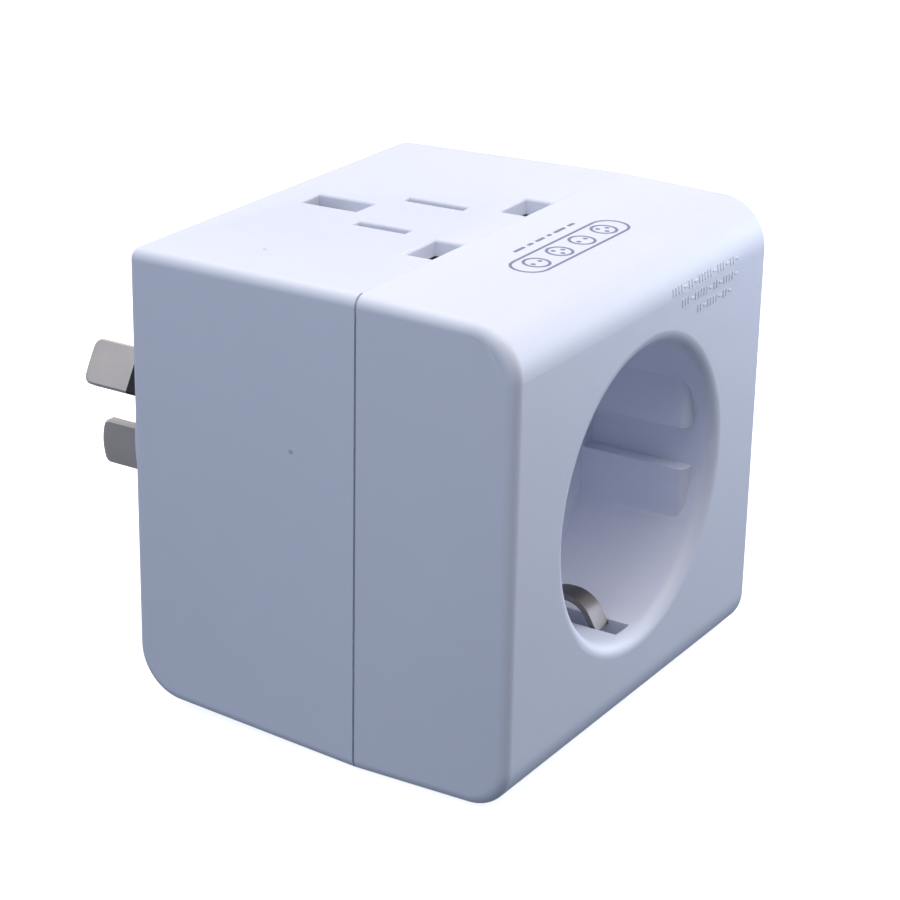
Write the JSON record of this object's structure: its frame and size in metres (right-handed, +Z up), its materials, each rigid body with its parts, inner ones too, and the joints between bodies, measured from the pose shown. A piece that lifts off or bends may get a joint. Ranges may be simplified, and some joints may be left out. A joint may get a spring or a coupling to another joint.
{
  "type": "universal travel adapter",
  "caption": "Cube-shaped travel plug adapter: flat angled plug blades behind, shuttered round earthed socket in front, shuttered universal pin socket on top.",
  "frame": {"origin": "in the face of the round plug pad on the housing's back, the plane that meets a wall socket's face plate, where the round socket's axis crosses it", "axes": "+Y out of the back face along the plug blades, +Z up towards the universal socket face, -Y out of the round socket, +X to the right when facing the round socket"},
  "size_m": [0.0656, 0.0785, 0.0628],
  "materials": {
    "housing_plastic": "fine satin white moulded polycarbonate, faintly cool",
    "inner_plastic": "matt off-white moulded polyamide",
    "shutter_plastic": "matt pale grey moulded acetal",
    "sleeve_plastic": "matt black insulating sleeve",
    "plated_brass": "nickel plated, fine lengthwise brushing",
    "brass": "stamped bare brass",
    "contact_bronze": "rolled phosphor bronze spring strip",
    "clip_nickel": "warm nickel plated spring strip",
    "screw_steel": "zinc plated steel",
    "print_ink": "matt grey-blue printed ink",
    "spring_steel": "drawn steel wire"
  },
  "bodies": {
    "root": {"front_housing": "housing_plastic", "rear_housing": "housing_plastic", "housing_screws": "screw_steel", "blade_carrier": "inner_plastic", "blade_carrier_screws": "screw_steel", "live_blade": "plated_brass", "neutral_blade": "plated_brass", "earth_blade": "plated_brass", "live_blade_sleeve": "sleeve_plastic", "neutral_blade_sleeve": "sleeve_plastic", "live_bus_bar": "brass", "neutral_bus_bar": "brass", "earth_bus_bar": "brass", "universal_live_contact": "contact_bronze", "universal_neutral_contact": "contact_bronze", "universal_earth_contact": "contact_bronze", "universal_contact_carrier": "inner_plastic", "shutter_deck": "shutter_plastic", "deck_screws": "screw_steel", "schuko_base": "housing_plastic", "schuko_base_screws": "screw_steel", "schuko_contact_carrier": "inner_plastic", "schuko_carrier_screws": "screw_steel", "schuko_live_contact": "contact_bronze", "schuko_neutral_contact": "contact_bronze", "schuko_earth_clip": "clip_nickel", "bus_rivets": "brass", "uk_shutter_spring": "spring_steel", "us_shutter_spring": "spring_steel", "schuko_shutter_spring": "spring_steel"},
    "uk_shutter": {"uk_shutter": "shutter_plastic"},
    "us_shutter": {"us_shutter": "shutter_plastic"},
    "schuko_shutter": {"schuko_shutter": "shutter_plastic"}
  },
  "joints": [
    {"name": "uk_shutter_slide", "type": "slide", "parent": "root", "child": "uk_shutter", "axis": [0, -1, 0], "range_m": [0, 0.0052], "stiffness_N_per_m": 30, "springref_m": -0.004, "deforming": ["uk_shutter_spring"]},
    {"name": "us_shutter_slide", "type": "slide", "parent": "root", "child": "us_shutter", "axis": [-1, 0, 0], "range_m": [0, 0.0029], "stiffness_N_per_m": 30, "springref_m": -0.003, "deforming": ["us_shutter_spring"]},
    {"name": "schuko_shutter_turn", "type": "hinge", "parent": "root", "child": "schuko_shutter", "pos_m": [0, -0.0363, 0], "axis": [0, 1, 0], "range_deg": [0, 40], "stiffness_Nm_per_rad": 0.0005, "springref_deg": -20.05, "deforming": ["schuko_shutter_spring"]}
  ]
}
